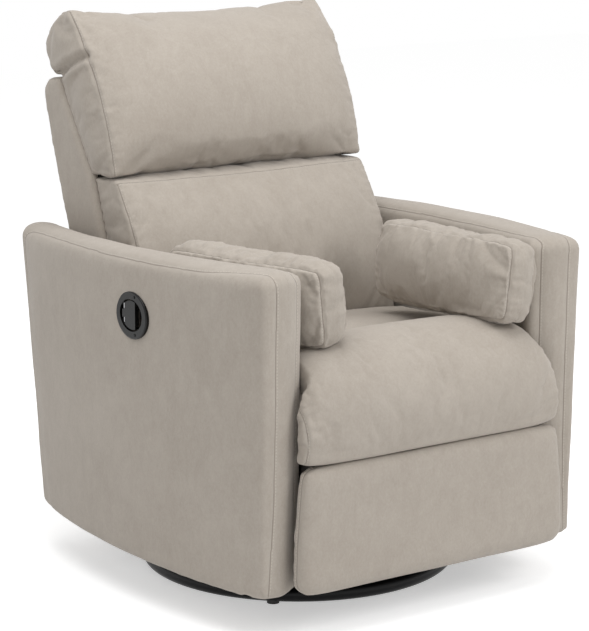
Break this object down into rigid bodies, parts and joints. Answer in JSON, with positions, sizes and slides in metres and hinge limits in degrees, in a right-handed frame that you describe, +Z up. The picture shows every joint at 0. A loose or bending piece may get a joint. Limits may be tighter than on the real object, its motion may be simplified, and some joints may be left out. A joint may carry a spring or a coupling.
{
  "type": "swivel glider recliner",
  "caption": "Padded armchair on a round floor ring that swivels and glides, with a fold-out footrest, reclining back, recessed release handle and loose side pillows.",
  "frame": {"origin": "on the floor under the swivel axis, which is the centre of the floor ring", "axes": "+Z up, -Y to the front of the chair, +X to the sitter's left"},
  "size_m": [0.8036, 0.8375, 1.006],
  "materials": {
    "upholstery": "brushed suede cloth, matte with a soft mottled nap",
    "black_steel": "satin black paint",
    "bare_steel": "zinc plated, dull",
    "spring_steel": "oiled",
    "frame_wood": "raw plywood and softwood",
    "webbing": "woven elastic webbing",
    "latch_plastic": "gloss black",
    "glide_plastic": "matte",
    "washer_plastic": "natural nylon"
  },
  "bodies": {
    "base": {"floor_ring": "black_steel", "ring_glides": "glide_plastic", "base_crossbars": "black_steel", "hub_post": "black_steel", "thrust_washer": "washer_plastic", "post_collar": "bare_steel"},
    "swivel": {"swivel_plate": "black_steel", "glide_crossbars": "black_steel", "hanger_brackets": "black_steel", "hanger_bolts": "bare_steel", "glide_top_pins": "bare_steel", "glide_spacers": "washer_plastic"},
    "glide_front": {"front_glide_links": "black_steel"},
    "glide_rear": {"rear_glide_links": "black_steel"},
    "chassis": {"chassis_rails": "black_steel", "glide_bottom_pins": "bare_steel", "glide_washers": "washer_plastic", "chassis_cross_tubes": "black_steel", "arm_bolts": "bare_steel", "track_posts": "black_steel", "seat_tracks": "black_steel", "rear_stretcher": "frame_wood", "rear_panel": "upholstery", "arm_board_left": "frame_wood", "arm_board_right": "frame_wood", "arm_left": "upholstery", "arm_right": "upholstery", "latch_cup": "latch_plastic", "latch_screws": "bare_steel", "latch_pin": "bare_steel"},
    "handle": {"release_handle": "latch_plastic"},
    "seat": {"seat_runners": "black_steel", "seat_side_rails": "frame_wood", "seat_cross_rails": "frame_wood", "seat_springs": "spring_steel", "seat_front_cushion": "upholstery", "seat_rear_cushion": "upholstery", "back_pins": "bare_steel", "back_washers": "washer_plastic", "footrest_mount_plates": "black_steel", "footrest_arm_pins": "bare_steel", "footrest_arm_washers": "washer_plastic"},
    "back": {"back_stiles": "frame_wood", "back_rails": "frame_wood", "back_webbing": "webbing", "back_hinge_brackets": "black_steel", "back_shell": "upholstery", "lumbar_cushion": "upholstery", "head_cushion": "upholstery"},
    "foot_front_arms": {"footrest_front_arms": "black_steel"},
    "foot_rear_arms": {"footrest_rear_arms": "black_steel"},
    "foot_carriers": {"footrest_carriers": "black_steel", "footrest_carrier_pins": "bare_steel"},
    "foot_control": {"footrest_control_links": "black_steel"},
    "footrest": {"footrest_brackets": "black_steel", "footrest_screws": "bare_steel", "footrest_board": "frame_wood", "footrest_pad": "upholstery"},
    "pillow_left": {"side_pillow_left": "upholstery"},
    "pillow_right": {"side_pillow_right": "upholstery"}
  },
  "joints": [
    {"name": "swivel_turn", "type": "hinge", "parent": "base", "child": "swivel", "pos_m": [0, 0, 0.052], "axis": [0, 0, 1], "continuous": true},
    {"name": "glide_swing", "type": "hinge", "parent": "swivel", "child": "glide_front", "pos_m": [0, -0.15, 0.195], "axis": [1, 0, 0], "range_deg": [-14, 14]},
    {"name": "glide_level", "type": "hinge", "parent": "glide_front", "child": "chassis", "pos_m": [0, -0.15, 0.095], "axis": [1, 0, 0], "range_deg": [-14, 14]},
    {"name": "glide_rear_swing", "type": "hinge", "parent": "swivel", "child": "glide_rear", "pos_m": [0, 0.15, 0.195], "axis": [1, 0, 0], "range_deg": [-14, 14]},
    {"name": "seat_slide", "type": "slide", "parent": "chassis", "child": "seat", "axis": [0, -1, 0], "range_m": [0, 0.0601]},
    {"name": "back_recline", "type": "hinge", "parent": "seat", "child": "back", "pos_m": [0, 0.095, 0.292], "axis": [-1, 0, 0], "range_deg": [0, 38]},
    {"name": "footrest_swing", "type": "hinge", "parent": "seat", "child": "foot_front_arms", "pos_m": [0, -0.294, 0.262], "axis": [-1, 0, 0], "range_deg": [0, 90]},
    {"name": "footrest_rear_swing", "type": "hinge", "parent": "seat", "child": "foot_rear_arms", "pos_m": [0, -0.254, 0.24], "axis": [-1, 0, 0], "range_deg": [0, 90]},
    {"name": "carrier_level", "type": "hinge", "parent": "foot_front_arms", "child": "foot_carriers", "pos_m": [0, -0.249, 0.097], "axis": [-1, 0, 0], "range_deg": [-90, 0]},
    {"name": "control_level", "type": "hinge", "parent": "foot_front_arms", "child": "foot_control", "pos_m": [0, -0.26347, 0.15006], "axis": [-1, 0, 0], "range_deg": [-90, 0]},
    {"name": "footrest_tilt", "type": "hinge", "parent": "foot_carriers", "child": "footrest", "pos_m": [0, -0.352, 0.205], "axis": [-1, 0, 0], "range_deg": [0, 90]},
    {"name": "handle_pull", "type": "hinge", "parent": "chassis", "child": "handle", "pos_m": [-0.3945, -0.039, 0.517], "axis": [0, 0, -1], "range_deg": [0, 35], "stiffness_Nm_per_rad": 0.3, "springref_deg": -11.46},
    {"name": "left_pillow_lift", "type": "slide", "parent": "chassis", "child": "pillow_left", "axis": [0, 0, 1], "range_m": [0, 0.25]},
    {"name": "right_pillow_lift", "type": "slide", "parent": "chassis", "child": "pillow_right", "axis": [0, 0, 1], "range_m": [0, 0.25]}
  ],
  "couplings": [
    {"joint": "glide_level", "follows": "glide_swing", "ratio": -1},
    {"joint": "glide_rear_swing", "follows": "glide_swing", "ratio": 1},
    {"joint": "seat_slide", "follows": "back_recline", "m_per_rad": 0.090467},
    {"joint": "footrest_rear_swing", "follows": "footrest_swing", "ratio": 1},
    {"joint": "carrier_level", "follows": "footrest_swing", "ratio": -1},
    {"joint": "control_level", "follows": "footrest_swing", "ratio": -1},
    {"joint": "footrest_tilt", "follows": "footrest_swing", "ratio": 1}
  ]
}
